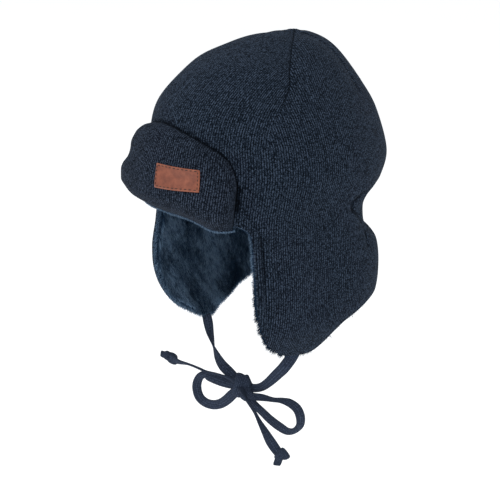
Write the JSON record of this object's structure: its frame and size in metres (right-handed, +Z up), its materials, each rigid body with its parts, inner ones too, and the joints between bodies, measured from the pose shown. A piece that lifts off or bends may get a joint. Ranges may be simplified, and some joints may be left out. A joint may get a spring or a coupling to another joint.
{
  "type": "knitted aviator hat",
  "caption": "Close-knit winter hat with a darted crown, padded turned-up brim, ear and neck flaps lined with plush, a bare leather patch and jersey ties in a bow",
  "frame": {"origin": "the middle of the head opening, level with the front rim, where a head holds the hat", "axes": "+Z up, -Y the wearer's front, +X the wearer's left"},
  "size_m": [0.1789, 0.2397, 0.368],
  "materials": {
    "navy_knit": "matt melange knit",
    "navy_plush": "short soft pile",
    "tan_leather": "satin grained",
    "navy_jersey": "matt jersey"
  },
  "bodies": {
    "root": {"outer_shell": "navy_knit", "lining": "navy_plush", "brim": "navy_knit", "leather_patch": "tan_leather", "strap_right": "navy_jersey", "strap_left": "navy_jersey", "loop_right": "navy_jersey", "loop_left": "navy_jersey", "tail_right": "navy_jersey", "tail_left": "navy_jersey", "bow_knot": "navy_jersey", "end_knot_right": "navy_jersey", "end_knot_left": "navy_jersey"}
  },
  "joints": []
}
